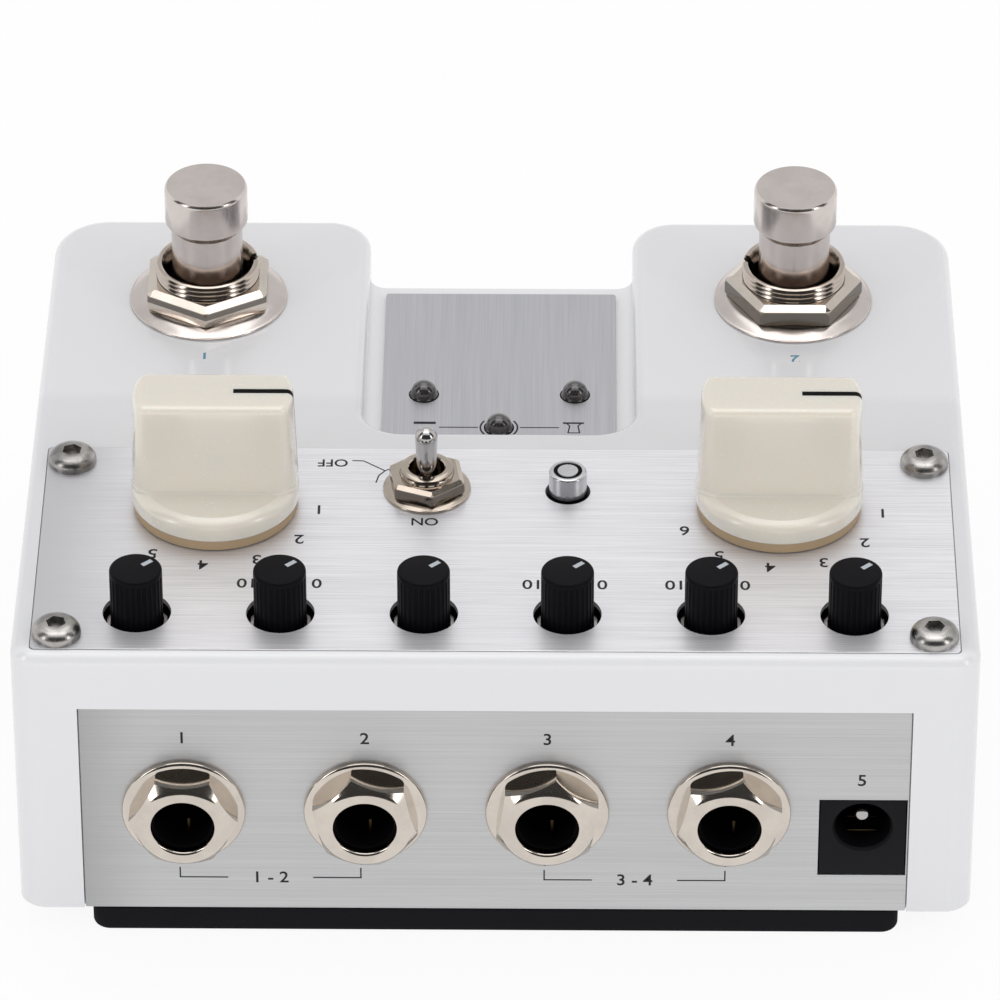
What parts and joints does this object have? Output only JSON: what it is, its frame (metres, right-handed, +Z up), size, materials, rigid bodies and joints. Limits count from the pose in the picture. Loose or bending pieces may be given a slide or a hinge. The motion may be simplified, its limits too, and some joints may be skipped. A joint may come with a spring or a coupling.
{
  "type": "delay pedal",
  "caption": "Delay pedal in a U-shaped white metal housing, with footswitches, bar selector knobs, small knobs, a toggle, a push button, lamps, jacks and a power socket.",
  "frame": {"origin": "on the floor, under the middle of the pedal's bounding box", "axes": "+X to the right along the jack panel, +Y from the jack panel to the footswitches, +Z up"},
  "size_m": [0.1078, 0.0922, 0.0545],
  "materials": {
    "white_paint": "glossy white powder coat with a cool tint",
    "brushed_plate": "brushed along X",
    "grey_plate": "satin, brushed",
    "black_steel": "black coated steel",
    "rubber": "matte black",
    "board": "green solder mask",
    "black_plastic": "moulded, satin",
    "silver_plastic": "satin turned face",
    "steel": "plated, bright",
    "smoked_lens": "smoked clear lens over an unlit lamp",
    "cream_plastic": "cream, semi-gloss, moulded",
    "nickel": "polished nickel"
  },
  "bodies": {
    "chassis": {"housing": "white_paint", "control_plate": "brushed_plate", "channel_plate": "grey_plate", "jack_plate": "grey_plate", "base_plate": "black_steel", "base_screw_1": "black_steel", "base_screw_2": "black_steel", "base_screw_3": "black_steel", "base_screw_4": "black_steel", "rubber_pad": "rubber", "control_board": "board", "jack_board": "board", "dc_socket": "black_plastic", "tact_switch": "black_plastic", "jack_socket_1": "black_plastic", "jack_socket_2": "black_plastic", "jack_socket_3": "black_plastic", "jack_socket_4": "black_plastic", "plate_screw_1": "steel", "plate_screw_2": "steel", "plate_screw_3": "steel", "plate_screw_4": "steel", "potentiometer_1": "steel", "potentiometer_2": "steel", "potentiometer_3": "steel", "potentiometer_4": "steel", "potentiometer_5": "steel", "potentiometer_6": "steel", "rotary_switch_left": "steel", "rotary_switch_right": "steel", "lamp_1": "smoked_lens", "lamp_2": "smoked_lens", "lamp_3": "smoked_lens", "jack_nut_1": "nickel", "jack_nut_2": "nickel", "jack_nut_3": "nickel", "jack_nut_4": "nickel", "footswitch_body_left": "nickel", "footswitch_washer_left": "nickel", "footswitch_nut_left": "nickel", "footswitch_body_right": "nickel", "footswitch_washer_right": "nickel", "footswitch_nut_right": "nickel", "toggle_body": "nickel", "toggle_washer": "nickel", "toggle_nut": "nickel"},
    "footswitch_left": {"footswitch_plunger_left": "nickel"},
    "footswitch_right": {"footswitch_plunger_right": "nickel"},
    "small_knob_1": {"small_knob_1": "black_plastic"},
    "small_knob_2": {"small_knob_2": "black_plastic"},
    "small_knob_3": {"small_knob_3": "black_plastic"},
    "small_knob_4": {"small_knob_4": "black_plastic"},
    "small_knob_5": {"small_knob_5": "black_plastic"},
    "small_knob_6": {"small_knob_6": "black_plastic"},
    "selector_left": {"selector_knob_left": "cream_plastic", "selector_shaft_left": "steel"},
    "selector_right": {"selector_knob_right": "cream_plastic", "selector_shaft_right": "steel"},
    "toggle": {"toggle_lever": "nickel"},
    "button": {"push_button": "silver_plastic"}
  },
  "joints": [
    {"name": "footswitch_left_press", "type": "slide", "parent": "chassis", "child": "footswitch_left", "axis": [0, 0, -1], "range_m": [0, 0.0025], "stiffness_N_per_m": 4000},
    {"name": "footswitch_right_press", "type": "slide", "parent": "chassis", "child": "footswitch_right", "axis": [0, 0, -1], "range_m": [0, 0.0025], "stiffness_N_per_m": 4000},
    {"name": "small_knob_1_turn", "type": "hinge", "parent": "chassis", "child": "small_knob_1", "pos_m": [-0.04, -0.0342, 0.0388], "axis": [0, 0, 1], "range_deg": [-280, 0]},
    {"name": "small_knob_2_turn", "type": "hinge", "parent": "chassis", "child": "small_knob_2", "pos_m": [-0.024, -0.0342, 0.0388], "axis": [0, 0, 1], "range_deg": [-280, 0]},
    {"name": "small_knob_3_turn", "type": "hinge", "parent": "chassis", "child": "small_knob_3", "pos_m": [-0.008, -0.0342, 0.0388], "axis": [0, 0, 1], "range_deg": [-280, 0]},
    {"name": "small_knob_4_turn", "type": "hinge", "parent": "chassis", "child": "small_knob_4", "pos_m": [0.008, -0.0342, 0.0388], "axis": [0, 0, 1], "range_deg": [-280, 0]},
    {"name": "small_knob_5_turn", "type": "hinge", "parent": "chassis", "child": "small_knob_5", "pos_m": [0.024, -0.0342, 0.0388], "axis": [0, 0, 1], "range_deg": [-280, 0]},
    {"name": "small_knob_6_turn", "type": "hinge", "parent": "chassis", "child": "small_knob_6", "pos_m": [0.04, -0.0342, 0.0388], "axis": [0, 0, 1], "range_deg": [-280, 0]},
    {"name": "selector_left_turn", "type": "hinge", "parent": "chassis", "child": "selector_left", "pos_m": [-0.032, -0.0134, 0.0388], "axis": [0, 0, 1], "range_deg": [-120, 0]},
    {"name": "selector_right_turn", "type": "hinge", "parent": "chassis", "child": "selector_right", "pos_m": [0.032, -0.0134, 0.0388], "axis": [0, 0, 1], "range_deg": [-150, 0]},
    {"name": "toggle_throw", "type": "hinge", "parent": "chassis", "child": "toggle", "pos_m": [-0.00805, -0.0104, 0.0392], "axis": [1, 0, 0], "range_deg": [-24, 0]},
    {"name": "push_button_press", "type": "slide", "parent": "chassis", "child": "button", "axis": [0, 0, -1], "range_m": [0, 0.0008], "stiffness_N_per_m": 1500}
  ]
}
